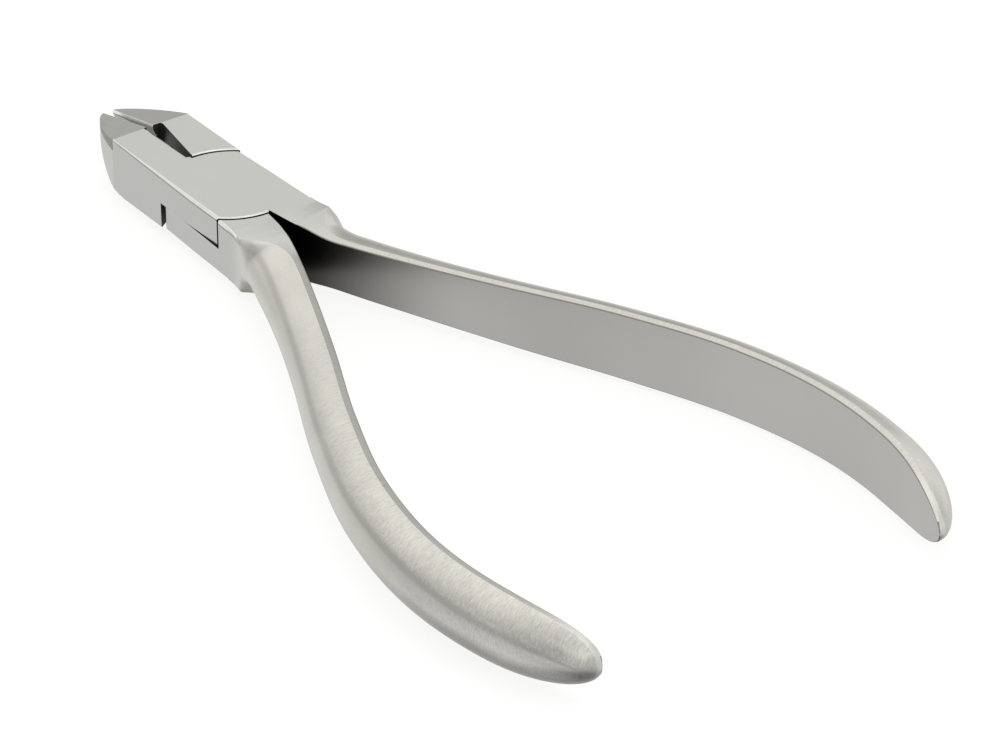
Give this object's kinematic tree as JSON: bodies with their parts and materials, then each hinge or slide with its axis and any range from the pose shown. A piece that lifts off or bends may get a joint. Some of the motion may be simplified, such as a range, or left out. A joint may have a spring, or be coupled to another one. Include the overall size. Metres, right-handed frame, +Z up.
{
  "type": "side cutter",
  "caption": "Slim lap-jointed side cutter for thin orthodontic wire, with carbide cutting inserts brazed to its short jaws and long bowed handles.",
  "frame": {"origin": "where the pivot axis meets the flat underside of the joint, on the pivot pin's head", "axes": "+X along the tool from the jaws to the handles' ends, +Z up along the pivot axis, +Y towards the upper half's handle"},
  "size_m": [0.1263, 0.0599, 0.0087],
  "materials": {
    "upper_half_steel": "satin, with a fine crosswise brush on the handles",
    "lower_half_steel": "satin, with a fine crosswise brush on the handles",
    "carbide": "ground matt grey carbide",
    "braze": "thin flush line of silver solder",
    "pin_steel": "ground flush"
  },
  "bodies": {
    "lower_side": {"lower_half": "lower_half_steel", "lower_insert": "carbide", "lower_braze": "braze"},
    "upper_side": {"upper_half": "upper_half_steel", "upper_insert": "carbide", "upper_braze": "braze", "pivot_pin": "pin_steel"}
  },
  "joints": [
    {"name": "jaw_pivot", "type": "hinge", "parent": "lower_side", "child": "upper_side", "pos_m": [0, 0, 0], "axis": [0, 0, 1], "range_deg": [-2.5, 28]}
  ]
}
